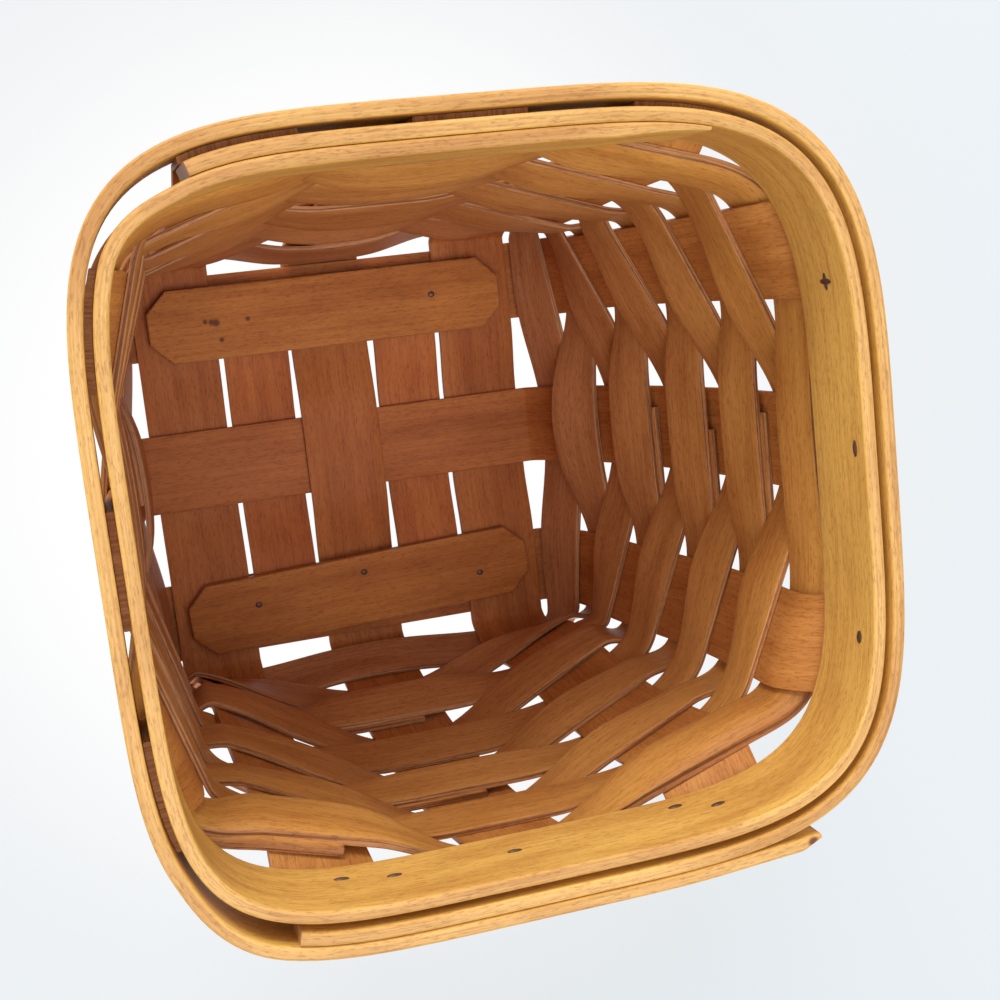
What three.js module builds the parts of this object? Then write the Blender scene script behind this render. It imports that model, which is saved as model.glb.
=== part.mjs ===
// A small hand-woven hardwood-splint basket: square base, flared walls, two-band rim.
// Millimetres, +Z out of the mouth. The origin is the bottom centre of the whole basket's box.
// X runs to the right and Y to the back, seen from above with the front edge nearest.
import * as THREE from "three";

// Uprights: six splints, three each way, that cross in the base and turn up all four walls
const UPRIGHT_WIDTH = 15.9;
const UPRIGHT_THICKNESS = 1.0;
const UPRIGHT_SPACING = 31.05;
const UPRIGHT_SET_DOWN = 4.0; // their ends stop below the rim's top edge
const TURN_UP_MARGIN = 1.4; // base left beyond the outer uprights before the walls turn up

// Base fillers and slats
const FILLER_GAP = 1.0; // open slot on each side of a filler
const FILLER_OVERHANG = 4.0; // how far a filler runs past the middle of the splint it ends on
const SLAT_WIDTH = 14.6;
const SLAT_THICKNESS = 2.4;
const SLAT_CHAMFER = 4.2;
const SLAT_EDGE = 0.5; // softened top and bottom edges
const SLAT_END_GAP = 4.1; // from a slat's end to where the wall turns up
const SLAT_INSET = 1.6; // a slat lies this far inside the line of the uprights
const FRONT_SLAT_TURN = 2.4; // degrees; the front slat was tacked on a little askew

// Weavers: ten separate rings of splint, each with lapped ends
const WEAVER_ROWS = 10;
const WEAVER_WIDTH = 9.35;
const WEAVER_THICKNESS = 1.0;
const ROW_GAP = 0.3;
const FIRST_ROW_LIFT = 1.68; // lower edge of the first row above the middle of the base weave
// Inside, a weaver's upper edge is taut and its lower edge stands further off, but not at a corner
const SLACK = 1.8;
const TAUTNESS = 0.75; // how far a strip leaves an upright along its way to the next one
const LAP_TUCK = 6; // a weaver begins this far before the middle of the upright before its lap
const LAP_SHOW = 3; // and ends this far past the middle of its lap upright
// The wall and the upright inside which each row's ends are lapped
const LAPS = [
  "back centre",
  "left centre",
  "front centre",
  "right centre",
  "back centre",
  "right centre",
  "front centre",
  "right centre",
  "back centre",
  "front left",
];

// Rim: an inner and an outer band that clamp the uprights' ends, each lapped on one side
const BAND_HEIGHT = 15.9;
const BAND_THICKNESS = 2.0;
const RIM_GAP = 2.5; // open strip between the last row and the bands
const INNER_LAP_START = 38; // left of the middle of the back side
const INNER_LAP_END = 34; // right of the middle of the back side
const INNER_SKIVE = 14; // length over which the inner band's last end thins out
const SKIVE_TIP = 0.6; // thickness left at that end
const OUTER_LAP_START = 37; // left of the middle of the front side
const OUTER_LAP_END = 40.5; // right of the middle of the front side
const FREE_END = 16; // last stretch of the outer band, which springs straight off the corner
const BAND_STEP = 16; // stretch in which a band steps over its own beginning

// Walls: how far each flares and bulges, the exponent of its rise, the exponents of its rounding
// halfway up towards its low and high ends, and the height over which that rounding sets in
const LEAN = { x: 5.1, y: 1.75 }; // the rim's centre against the base's centre
const WALLS = {
  right: { flare: 14.4, bulge: 5.3, curl: 0.58, low: 2.25, high: 2.55, settle: 9 },
  back: { flare: 13.1, bulge: -0.3, curl: 0.55, low: 3.0, high: 2.5, settle: 9 },
  left: { flare: 13.1, bulge: -0.9, curl: 0.55, low: 2.8, high: 3.0, settle: 9 },
  front: { flare: 13.1, bulge: 5.8, curl: 0.48, low: 2.3, high: 2.1, settle: 6 },
};
// Exponents of the rounded-square section at the base and at each corner of the rim
const BASE_SQUARENESS = 14;
const RIM_SQUARENESS = {
  right: { back: 4.0, front: 4.3 },
  left: { back: 4.95, front: 4.95 },
};
const RIM_ONSET = 11; // exponent: how late a wall takes on the rim's section
const UPRIGHT_TURN = 0.75; // share of the corner's turn that an upright follows

// Fits
const WEAVE_CLEARANCE = 0.32; // between a splint and the splint it crosses
const BAND_CLEARANCE = 0.3; // between a band and what it clamps or laps
const CROSSING_MARGIN = 0.5; // how far a crossing splint stays clear past an upright's edge

// Smoothness of the bent splints
const LEAN_STEP = 0.5; // height over which a wall's lean is measured
const RING_STEPS = 3; // on an upright and between two uprights
const WALL_STEPS = 18;
const TURN_UP_FINENESS = 1.7; // exponent that crowds the steps towards the turn-up
const BEND_STEPS = 4;
const BAND_STEPS = 88;
const RIM_DIVISIONS = 1440; // for measuring along the rim
const LOW_ROWS = 2; // rows on the turn-up, curved across their width as the last row is
const CURVED_STRIPS = 3;
const FLAT_STRIPS = 1;
const EDGE_STEPS = 2;

// Heights and reaches that follow
const LAYER = UPRIGHT_THICKNESS + WEAVE_CLEARANCE;
const BASE_MIDDLE = LAYER + UPRIGHT_THICKNESS / 2;
const BASE_HALF = UPRIGHT_SPACING + UPRIGHT_WIDTH / 2 + TURN_UP_MARGIN;
const ROW_PITCH = WEAVER_WIDTH + ROW_GAP;
const ROWS_BOTTOM = BASE_MIDDLE + FIRST_ROW_LIFT;
const ROWS_TOP = ROWS_BOTTOM + WEAVER_ROWS * ROW_PITCH - ROW_GAP;
const BAND_BOTTOM = ROWS_TOP + RIM_GAP;
const RIM_TOP = BAND_BOTTOM + BAND_HEIGHT;
const WEAVER_OFFSET = (UPRIGHT_THICKNESS + WEAVER_THICKNESS) / 2 + WEAVE_CLEARANCE;
const WEAVER_STEP = WEAVER_THICKNESS + WEAVE_CLEARANCE;
const FLAT_HALF = UPRIGHT_WIDTH / 2 + CROSSING_MARGIN;
const FILLER_WIDTH = UPRIGHT_SPACING - UPRIGHT_WIDTH - 2 * FILLER_GAP;

// Finishes: the wood is golden at the rim and redder and darker towards the base
const BAND_WOOD = { color: 0xd29a4e, roughness: 0.5, metalness: 0 };
const WEAVER_WOOD = { color: 0xb47a3c, roughness: 0.55, metalness: 0 };
const UPRIGHT_WOOD = { color: 0x96592e, roughness: 0.58, metalness: 0 };
const FILLER_WOOD = { color: 0x93502a, roughness: 0.6, metalness: 0 };
const SLAT_WOOD = { color: 0x87502b, roughness: 0.55, metalness: 0 };

const vec = (x, y, z) => new THREE.Vector3(x, y, z);
const ease = (t) => t * t * (3 - 2 * t);
const unit = (t) => Math.min(Math.max(t, 0), 1);
const range = (count) => Array.from({ length: count }, (_, i) => i);
const share = (count) => range(count + 1).map((i) => i / count);

// Heights of a splint's centre line in the base, against the middle of the base weave, where it
// crosses the front, centre and back splints. The splints along X lie flat between the others.
const FLAT = [0, 0, 0];
const UNDER_CENTRE = [LAYER, -LAYER, LAYER];
const OVER_CENTRE = [-LAYER, LAYER, -LAYER];

const SPLINTS_X = [
  { name: "upsplint_x_front", across: -UPRIGHT_SPACING, levels: FLAT },
  { name: "upsplint_x_centre", across: 0, levels: FLAT },
  { name: "upsplint_x_back", across: UPRIGHT_SPACING, levels: FLAT },
];
const SPLINTS_Y = [
  { name: "upsplint_y_left", across: -UPRIGHT_SPACING, levels: UNDER_CENTRE },
  { name: "upsplint_y_centre", across: 0, levels: OVER_CENTRE },
  { name: "upsplint_y_right", across: UPRIGHT_SPACING, levels: UNDER_CENTRE },
];

// The twelve uprights in order round the basket, counter-clockwise from above
const upOn = (side) => (splint) => ({ side, splint, name: `${side} ${splint.name.split("_").pop()}` });
const UPRIGHT_PLACES = [
  ...SPLINTS_X.map(upOn("right")),
  ...SPLINTS_Y.toReversed().map(upOn("back")),
  ...SPLINTS_X.toReversed().map(upOn("left")),
  ...SPLINTS_Y.map(upOn("front")),
];

// How far a wall stands out from the leaning centre line at a share of its rise
function standOff(side, rise) {
  const { flare, curl, bulge } = WALLS[side];
  return BASE_HALF + flare * rise ** curl + bulge * 4 * rise * (1 - rise);
}

// The axis a wall faces, the one it runs along, its signs and its neighbours on that axis
const SIDES = {
  right: { out: "x", along: "y", sign: 1, travel: 1, next: { low: "front", high: "back" } },
  back: { out: "y", along: "x", sign: 1, travel: -1, next: { low: "left", high: "right" } },
  left: { out: "x", along: "y", sign: -1, travel: -1, next: { low: "front", high: "back" } },
  front: { out: "y", along: "x", sign: -1, travel: 1, next: { low: "left", high: "right" } },
};

// Depth and slope of a wall at a lateral place from the centre line: each corner of the section is
// a quarter of a superellipse
function wallDepth(side, lateral, height, rise) {
  const end = lateral < 0 ? "low" : "high";
  const neighbour = SIDES[side].next[end];
  const squareness = WALLS[side][end];
  const atRim = RIM_SQUARENESS[side]?.[neighbour] ?? RIM_SQUARENESS[neighbour][side];
  const fromBase = (BASE_SQUARENESS - squareness) * Math.exp(-height / WALLS[side].settle);
  const power = squareness + fromBase + (atRim - squareness) * rise ** RIM_ONSET;
  const out = standOff(side, rise);
  const half = standOff(neighbour, rise);
  const q = Math.abs(lateral) / half;
  const rest = 1 - q ** power;
  const fall = ((out / half) * q ** (power - 1)) / rest ** (1 - 1 / power);
  return { depth: out * rest ** (1 / power), slope: -Math.sign(lateral) * fall };
}

// Centre of an upright, counted round the basket, at a height
function uprightCentre(at, z) {
  const { side, splint } = UPRIGHT_PLACES[at];
  const { out, along, sign } = SIDES[side];
  const start = BASE_MIDDLE + splint.levels[side === "front" ? 0 : 2];
  const height = Math.max(z - start, 0);
  const rise = unit(height / (BAND_BOTTOM - start));
  const { depth, slope } = wallDepth(side, splint.across, height, rise);
  const centre = vec(LEAN.x * rise, LEAN.y * rise, z);
  centre[out] += sign * depth;
  centre[along] += splint.across;
  return { centre, depth, slope, height, rise, start };
}

// Centre, counter-clockwise tangent and outward normal of an upright at a height
function uprightFrame(at, z) {
  const { side, splint } = UPRIGHT_PLACES[at];
  const { out, along, sign, travel } = SIDES[side];
  const { centre, depth, slope, height, rise } = uprightCentre(at, z);
  const tangent = vec(0, 0, 0);
  tangent[along] = travel;
  tangent[out] = travel * sign * slope * UPRIGHT_TURN;
  tangent.normalize();
  // How the section falls away from the tangent line, for a splint sprung to its curve
  const fall = (t) => {
    const step = t * tangent[along];
    const there = wallDepth(side, splint.across + step, height, rise).depth;
    return (depth + sign * t * tangent[out] - there) * Math.abs(tangent[along]);
  };
  return { centre, tangent, normal: vec(tangent.y, -tangent.x, 0), fall };
}

// A closed strip from sections, each with an inner and an outer row of points
function stripGeometry(sections) {
  const across = sections[0].inner.length;
  const ring = 2 * across;
  const points = sections.flatMap(({ inner, outer }) => [...inner, ...outer.toReversed()]);
  const index = [];
  const quad = (a, b, c, d) => index.push(a, b, c, a, c, d);
  for (const k of range(sections.length - 1)) {
    for (const j of range(ring)) {
      const next = (j + 1) % ring;
      quad(k * ring + j, (k + 1) * ring + j, (k + 1) * ring + next, k * ring + next);
    }
  }
  const last = (sections.length - 1) * ring;
  for (const j of range(across - 1)) {
    const far = ring - 1 - j;
    quad(j, j + 1, far - 1, far);
    quad(last + j, last + far, last + far - 1, last + j + 1);
  }
  const geometry = new THREE.BufferGeometry().setFromPoints(points);
  geometry.setIndex(enclosed(points, index) < 0 ? index.toReversed() : index);
  geometry.computeVertexNormals();
  return geometry;
}

// Six times the volume that a set of triangles encloses, negative when they face inwards
function enclosed(points, index) {
  const triangles = range(index.length / 3).map((i) => index.slice(3 * i, 3 * i + 3));
  const volume = ([a, b, c]) => points[a].dot(points[b].clone().cross(points[c]));
  return triangles.reduce((sum, triangle) => sum + volume(triangle), 0);
}

function piece(name, geometry, wood) {
  const mesh = new THREE.Mesh(geometry, new THREE.MeshStandardMaterial(wood));
  mesh.name = name;
  return mesh;
}

// Centre line of a splint across the base: flat over each crossing, eased between crossings
function basePath(levels, end) {
  const crossings = [-UPRIGHT_SPACING, 0, UPRIGHT_SPACING];
  const path = [[-end, levels[0]]];
  crossings.slice(1).forEach((place, i) => {
    const from = crossings[i] + FLAT_HALF;
    const to = place - FLAT_HALF;
    for (const t of share(BEND_STEPS)) {
      path.push([from + (to - from) * t, levels[i] + (levels[i + 1] - levels[i]) * ease(t)]);
    }
  });
  path.push([end, levels[2]]);
  return path;
}

// Sections of a splint from its centre points, its widthwise directions and its bend across
function splintSections(stations, width, thickness) {
  return stations.map(({ centre, tangent, fall }, k) => {
    const before = stations[Math.max(k - 1, 0)].centre;
    const after = stations[Math.min(k + 1, stations.length - 1)].centre;
    const inward = after.clone().sub(before).cross(tangent).normalize();
    const row = (side) =>
      [-width / 2, 0, width / 2].map((t) =>
        centre
          .clone()
          .addScaledVector(tangent, t)
          .addScaledVector(inward, (side * thickness) / 2 + fall(t)),
      );
    return { inner: row(1), outer: row(-1) };
  });
}

// Stations of an upright on one wall, from just above the turn-up to its end in the rim
function wallStations(at, flip) {
  const { start } = uprightCentre(at, 0);
  // A closer step under the rim, where the wall turns out
  const climb = [...share(WALL_STEPS).slice(1, -1), 1 - 1 / (2 * WALL_STEPS), 1];
  const heights = climb.map((t) => start + (ROWS_TOP - start) * t ** TURN_UP_FINENESS);
  heights.push((ROWS_TOP + BAND_BOTTOM) / 2, BAND_BOTTOM, RIM_TOP - UPRIGHT_SET_DOWN);
  return heights.map((z) => {
    const { centre, tangent, fall } = uprightFrame(at, z);
    const sprung = ease(unit((z - ROWS_TOP) / (BAND_BOTTOM - ROWS_TOP)));
    return {
      centre,
      tangent: tangent.clone().multiplyScalar(flip),
      fall: (t) => sprung * fall(t * flip),
    };
  });
}

const noFall = () => 0;

// An upright: up one wall, across the base and up the opposite wall
function upright(splint, axis) {
  const sides = axis === "x" ? ["left", "right"] : ["front", "back"];
  const widthwise = axis === "x" ? vec(0, 1, 0) : vec(-1, 0, 0);
  const [low, high] = sides.map((wall) => {
    const at = UPRIGHT_PLACES.findIndex((place) => place.side === wall && place.splint === splint);
    return wallStations(at, wall === sides[0] ? -1 : 1);
  });
  const end = wallDepth(sides[0], splint.across, 0, 0).depth;
  const base = basePath(splint.levels, end).map(([along, level]) => {
    const z = BASE_MIDDLE + level;
    const centre = axis === "x" ? vec(along, splint.across, z) : vec(splint.across, along, z);
    return { centre, tangent: widthwise, fall: noFall };
  });
  const stations = [...low.toReversed(), ...base, ...high];
  const sections = splintSections(stations, UPRIGHT_WIDTH, UPRIGHT_THICKNESS);
  return piece(splint.name, stripGeometry(sections), UPRIGHT_WOOD);
}

// A filler between two uprights, its ends lying on the front and back splints
function filler(name, x) {
  const end = UPRIGHT_SPACING + FILLER_OVERHANG;
  const stations = basePath(UNDER_CENTRE, end).map(([y, level]) => ({
    centre: vec(x, y, BASE_MIDDLE + level),
    tangent: vec(-1, 0, 0),
    fall: noFall,
  }));
  const sections = splintSections(stations, FILLER_WIDTH, UPRIGHT_THICKNESS);
  return piece(name, stripGeometry(sections), FILLER_WOOD);
}

// A slat with cut corners, lying on the splints over the front or back edge of the base
function slat(name, y, turn) {
  const long = BASE_HALF - SLAT_END_GAP - SLAT_EDGE;
  const wide = SLAT_WIDTH / 2 - SLAT_EDGE;
  const corners = [
    [long, wide - SLAT_CHAMFER],
    [long - SLAT_CHAMFER, wide],
    [SLAT_CHAMFER - long, wide],
    [-long, wide - SLAT_CHAMFER],
    [-long, SLAT_CHAMFER - wide],
    [SLAT_CHAMFER - long, -wide],
    [long - SLAT_CHAMFER, -wide],
    [long, SLAT_CHAMFER - wide],
  ];
  const outline = new THREE.Shape(corners.map(([a, b]) => new THREE.Vector2(a, b)));
  const geometry = new THREE.ExtrudeGeometry(outline, {
    depth: SLAT_THICKNESS - 2 * SLAT_EDGE,
    bevelThickness: SLAT_EDGE,
    bevelSize: SLAT_EDGE,
    bevelSegments: EDGE_STEPS,
  });
  const mesh = piece(name, geometry, SLAT_WOOD);
  const seat = BASE_MIDDLE + LAYER + UPRIGHT_THICKNESS / 2 + WEAVE_CLEARANCE;
  mesh.position.set(0, y, seat + SLAT_EDGE);
  mesh.rotation.z = THREE.MathUtils.degToRad(turn);
  return mesh;
}

// The ring of a weaver at a share of its width: knots at both edges of every upright it passes,
// inside and outside by turns, with the way the strip takes there and the gap to the next knot
function weaverRing(row, order, across) {
  const z = ROWS_BOTTOM + row * ROW_PITCH + across * WEAVER_WIDTH;
  const slack = row === 0 ? 0 : SLACK * (1 - across);
  const knots = order.flatMap((at) => {
    const { side, splint } = UPRIGHT_PLACES[at];
    const { centre, tangent, normal } = uprightFrame(at, z);
    const climb = uprightCentre(at, z + LEAN_STEP).centre;
    const lean = climb.sub(uprightCentre(at, z - LEAN_STEP).centre).dot(normal) / (2 * LEAN_STEP);
    // The wall leans, so a thickness measured level is longer than one square to the splint
    const stretch = Math.hypot(1, lean);
    const inside = (at + row) % 2 === 0;
    return [-1, 1].map((edge) => {
      const atCorner = splint.across * edge * SIDES[side].travel > 0;
      const depth = WEAVER_OFFSET + (atCorner ? 0 : slack);
      const place = centre
        .clone()
        .addScaledVector(tangent, edge * FLAT_HALF)
        .addScaledVector(normal, (inside ? -depth : WEAVER_OFFSET) * stretch);
      const towards = normal.clone().multiplyScalar(inside ? -edge : edge);
      return { place, towards, stretch, edge, atCorner };
    });
  });
  const count = knots.length;
  knots.forEach((knot, k) => {
    const ahead = knots[(k + 1) % count].place.clone().sub(knot.place);
    const back = knot.place.clone().sub(knots[(k + count - 1) % count].place);
    knot.gap = ahead.length();
    const way = back.clone().add(ahead);
    if (!knot.atCorner) {
      const [off, on] = knot.edge > 0 ? [ahead, back] : [back, ahead];
      way.copy(on.normalize().lerp(off.normalize(), TAUTNESS));
    }
    // Between the two edges of an upright a strip only bows away from it
    way.addScaledVector(knot.towards, -Math.max(way.dot(knot.towards), 0));
    knot.way = way.normalize();
  });
  return knots;
}

// Point and direction of a ring from one knot to the next at a share t
function ringPoint(from, to, t) {
  const { gap } = from;
  const [t2, t3] = [t * t, t * t * t];
  const at = vec(0, 0, 0)
    .addScaledVector(from.place, 2 * t3 - 3 * t2 + 1)
    .addScaledVector(from.way, gap * (t3 - 2 * t2 + t))
    .addScaledVector(to.place, 3 * t2 - 2 * t3)
    .addScaledVector(to.way, gap * (t3 - t2));
  const along = vec(0, 0, 0)
    .addScaledVector(from.place, (6 * t2 - 6 * t) / gap)
    .addScaledVector(from.way, 3 * t2 - 4 * t + 1)
    .addScaledVector(to.place, (6 * t - 6 * t2) / gap)
    .addScaledVector(to.way, 3 * t2 - 2 * t)
    .normalize();
  return { at, along };
}

// One line of a weaver along its length, in legs from knot to knot: it begins outside the upright
// before its lap upright, goes once round its ring and ends on the lap upright. In the lap its
// beginning lies a layer further in than its end.
function weaverLine(row, across) {
  const count = UPRIGHT_PLACES.length;
  const lapAt = UPRIGHT_PLACES.findIndex(({ name }) => name === LAPS[row]);
  const order = range(count).map((k) => (lapAt + count - 1 + k) % count);
  const knots = weaverRing(row, order, across);
  const last = knots.length - 1;
  const begin = (FLAT_HALF - LAP_TUCK) / (2 * FLAT_HALF);
  const end = (FLAT_HALF + LAP_SHOW) / (2 * FLAT_HALF);
  const legs = [
    { k: 0, from: begin, to: 1, layers: [0, 0] },
    { k: 1, from: 0, to: 1, layers: [0, -1] },
    { k: 2, from: 0, to: 1, layers: [-1, -1] },
    { k: 3, from: 0, to: 1, layers: [-1, 0] },
    ...range(last - 4).map((k) => ({ k: k + 4, from: 0, to: 1, layers: [0, 0] })),
    { k: last, from: 0, to: 1, layers: [0, 1] },
    { k: 0, from: 0, to: 1, layers: [1, 1] },
    { k: 1, from: 0, to: 1, layers: [1, 0] },
    { k: 2, from: 0, to: end, layers: [0, 0] },
  ];
  const { lerp } = THREE.MathUtils;
  return legs.flatMap(({ k, from, to, layers }, number) => {
    const steps = number === legs.length - 1 ? share(RING_STEPS) : share(RING_STEPS).slice(0, -1);
    const [knot, next] = [knots[k], knots[(k + 1) % knots.length]];
    return steps.map((step) => {
      const t = lerp(from, to, step);
      const { at, along } = ringPoint(knot, next, t);
      const stretch = lerp(knot.stretch, next.stretch, t);
      const outward = vec(along.y, -along.x, 0).normalize();
      const layer = lerp(layers[0], layers[1], ease(t));
      at.addScaledVector(outward, layer * WEAVER_STEP * stretch);
      return { at, outward, stretch };
    });
  });
}

// A weaver: its lines carried over the width of the splint, with its thickness
function weaver(row) {
  const curved = row < LOW_ROWS || row === WEAVER_ROWS - 1;
  const lines = share(curved ? CURVED_STRIPS : FLAT_STRIPS).map((across) => weaverLine(row, across));
  const sections = lines[0].map((_, k) => {
    const face = (side) =>
      lines.map((line) => {
        const { at, outward, stretch } = line[k];
        return at.clone().addScaledVector(outward, (side * stretch * WEAVER_THICKNESS) / 2);
      });
    return { inner: face(-1), outer: face(1) };
  });
  const number = String(row + 1).padStart(2, "0");
  return piece(`weaver_${number}`, stripGeometry(sections), WEAVER_WOOD);
}

// The rim's rounded square, counter-clockwise from the middle of its right side
class RimCurve extends THREE.Curve {
  getPoint(t, target = vec(0, 0, 0)) {
    const angle = 2 * Math.PI * t;
    const [c, s] = [Math.cos(angle), Math.sin(angle)];
    const [wide, deep] = [c < 0 ? "left" : "right", s < 0 ? "front" : "back"];
    const power = 2 / RIM_SQUARENESS[wide][deep];
    const x = LEAN.x + standOff(wide, 1) * Math.sign(c) * Math.abs(c) ** power;
    const y = LEAN.y + standOff(deep, 1) * Math.sign(s) * Math.abs(s) ** power;
    return target.set(x, y, 0);
  }
}
const RIM = new RimCurve();
RIM.arcLengthDivisions = RIM_DIVISIONS;
const RIM_LENGTH = RIM.getLength();

// Distance along the rim to the point of its back or front side that lies at a distance from the
// middle of that side, towards +X
function rimPlace(side, offset) {
  const middle = side === "back" ? 1 / 4 : 3 / 4;
  return middle * RIM_LENGTH + (side === "back" ? -offset : offset);
}

// Point, travel direction and outward normal of the rim at a distance along it
function rimFrame(distance) {
  const turn = THREE.MathUtils.euclideanModulo(distance / RIM_LENGTH, 1);
  const at = RIM.getPointAt(turn);
  const along = RIM.getTangentAt(turn);
  return { at, along, outward: vec(along.y, -along.x, 0) };
}

// A band's sections from its stations, each with a place and its two faces' offsets
function bandSections(stations) {
  return stations.map(({ at, outward, near, far }) => {
    const face = (offset) =>
      [BAND_BOTTOM, RIM_TOP].map((z) => at.clone().addScaledVector(outward, offset).setZ(z));
    return { inner: face(near), outer: face(far) };
  });
}

// Share of a band's step over its own beginning that is done at a distance along the rim
function stepped(distance, lapStart) {
  return ease(unit((distance - lapStart + BAND_STEP + BAND_THICKNESS) / BAND_STEP));
}

const BAND_SEAT = UPRIGHT_THICKNESS / 2 + BAND_CLEARANCE;
const BAND_LAP = BAND_THICKNESS + BAND_CLEARANCE;

// The inner band runs clockwise and ends, thinned, inside its own beginning on the back side
function innerBand() {
  const start = -rimPlace("back", -INNER_LAP_START);
  const end = RIM_LENGTH - rimPlace("back", INNER_LAP_END);
  const stations = share(BAND_STEPS).map((t) => {
    const distance = start + (end - start) * t;
    const { at, outward } = rimFrame(-distance);
    const far = -BAND_SEAT - BAND_LAP * stepped(distance, start + RIM_LENGTH);
    const left = unit((end - distance) / INNER_SKIVE);
    const near = far - THREE.MathUtils.lerp(SKIVE_TIP, BAND_THICKNESS, left);
    return { at, outward, near, far };
  });
  return piece("rim_band_inner", stripGeometry(bandSections(stations)), BAND_WOOD);
}

// The outer band runs counter-clockwise and ends outside its own beginning on the front side
function outerBand() {
  const start = rimPlace("front", -OUTER_LAP_START);
  const end = rimPlace("front", OUTER_LAP_END) + RIM_LENGTH;
  const free = end - FREE_END;
  const stations = share(BAND_STEPS).map((t) => {
    const distance = start + (end - start) * t;
    const { at, along, outward } = rimFrame(Math.min(distance, free));
    const near = BAND_SEAT + BAND_LAP * stepped(distance, start + RIM_LENGTH);
    at.addScaledVector(along, Math.max(distance - free, 0));
    return { at, outward, near, far: near + BAND_THICKNESS };
  });
  return piece("rim_band_outer", stripGeometry(bandSections(stations)), BAND_WOOD);
}

const basket = new THREE.Group();
basket.name = "spoon_basket";
basket.add(
  ...SPLINTS_X.map((splint) => upright(splint, "x")),
  ...SPLINTS_Y.map((splint) => upright(splint, "y")),
  filler("base_filler_left", -UPRIGHT_SPACING / 2),
  filler("base_filler_right", UPRIGHT_SPACING / 2),
  slat("base_slat_front", SLAT_INSET - UPRIGHT_SPACING, FRONT_SLAT_TURN),
  slat("base_slat_back", UPRIGHT_SPACING - SLAT_INSET, 0),
  ...range(WEAVER_ROWS).map(weaver),
  innerBand(),
  outerBand(),
);

// The part's frame: the origin at the bottom centre of the basket's box
const box = new THREE.Box3().setFromObject(basket, true);
const middle = box.getCenter(vec(0, 0, 0));
basket.position.set(-middle.x, -middle.y, -box.min.z);

const part = new THREE.Group();
part.add(basket);

export default part;
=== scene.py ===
"""The looks of a small hand-woven hardwood-splint basket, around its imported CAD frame.

Shapes are worked out in millimetres about the middle of the base, and go into the meshes in metres.
"""

import bpy
import numpy as np
from mathutils import Matrix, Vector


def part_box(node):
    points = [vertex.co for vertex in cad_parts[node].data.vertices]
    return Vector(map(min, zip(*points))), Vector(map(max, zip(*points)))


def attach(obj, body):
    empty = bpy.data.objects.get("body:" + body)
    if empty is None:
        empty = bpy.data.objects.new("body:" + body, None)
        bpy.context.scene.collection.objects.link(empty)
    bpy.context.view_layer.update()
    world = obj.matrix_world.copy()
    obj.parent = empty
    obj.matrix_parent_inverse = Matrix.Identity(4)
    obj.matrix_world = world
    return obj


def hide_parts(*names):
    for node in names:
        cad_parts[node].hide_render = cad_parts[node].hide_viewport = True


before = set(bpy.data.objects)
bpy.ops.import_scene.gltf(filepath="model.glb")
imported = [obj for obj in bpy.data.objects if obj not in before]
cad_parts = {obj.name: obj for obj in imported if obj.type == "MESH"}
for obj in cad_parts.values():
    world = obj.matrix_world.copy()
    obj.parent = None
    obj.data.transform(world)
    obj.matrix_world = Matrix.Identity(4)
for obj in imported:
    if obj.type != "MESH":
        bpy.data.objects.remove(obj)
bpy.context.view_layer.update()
MM = 0.001


def box_middle(node, axis):
    """Middle of a CAD node's box along one axis."""
    low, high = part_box(node)
    return (low[axis] + high[axis]) / 2


# The fillers lie evenly about the middle of the base
BASE_CENTRE = np.array(
    [
        (box_middle("base_filler_left", 0) + box_middle("base_filler_right", 0)) / 2,
        box_middle("base_filler_left", 1),
        0.0,
    ]
)

# Sizes of the splints in millimetres, as in the CAD frame unless a comment says otherwise
UPRIGHT_WIDTH = 15.9
UPRIGHT_THICKNESS = 1.0
UPRIGHT_SPACING = 31.05
UPRIGHT_SET_DOWN = 4.0
BASE_HALF = 40.4
FILLER_WIDTH = 13.15
FILLER_OVERHANG = 4.0
SLAT_WIDTH = 14.6
SLAT_THICKNESS = 2.4
SLAT_CHAMFER = 4.2
SLAT_LENGTH = 72.6
SLAT_INSET = 1.6
FRONT_SLAT_TURN = 2.4
WEAVER_ROWS = 10
WEAVER_WIDTH = 9.35
WEAVER_THICKNESS = 1.0
ROW_PITCH = 9.65
ROWS_BOTTOM = 3.5
ROWS_TOP = ROWS_BOTTOM + ROW_PITCH * (WEAVER_ROWS - 1) + WEAVER_WIDTH
LAP_PLACES = [4, 7, 10, 1, 4, 1, 10, 1, 4, 9]
BAND_BOTTOM = 102.2
RIM_TOP = 118.1
BAND_THICKNESS = 2.0
INNER_LAP_START = 38.0
INNER_LAP_END = 34.0
INNER_SKIVE = 14.0
SKIVE_TIP = 0.6
OUTER_LAP_START = 37.0
OUTER_LAP_END = 40.5
FREE_END = 16.0
FREE_BEVEL = 3.1  # the slanted cut of the outer band's free end, which the CAD ends square
FREE_TIP = 0.7
BAND_STEP = 16.0
LEAN = (5.1, 1.75)
# For each wall: how far it flares, the exponent of its rise, its bulge, and the exponents of its
# rounding halfway up towards the walls at its low and high ends, with the height over which that
# sets in
WALL_CURVES = {
    "right": (14.4, 0.58, 5.3, 2.25, 2.55, 9.0),
    "back": (13.1, 0.55, -0.3, 3.0, 2.5, 9.0),
    "left": (13.1, 0.55, -0.9, 2.8, 3.0, 9.0),
    "front": (13.1, 0.48, 5.8, 2.3, 2.1, 6.0),
}
BASE_SQUARENESS = 14.0
# Exponents of the rim's corners
RIM_SQUARENESS = {
    frozenset(("right", "back")): 4.0,
    frozenset(("right", "front")): 4.3,
    frozenset(("left", "back")): 4.95,
    frozenset(("left", "front")): 4.95,
}
UPRIGHT_TURN = 0.75  # share of the corner's turn that an upright follows
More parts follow.
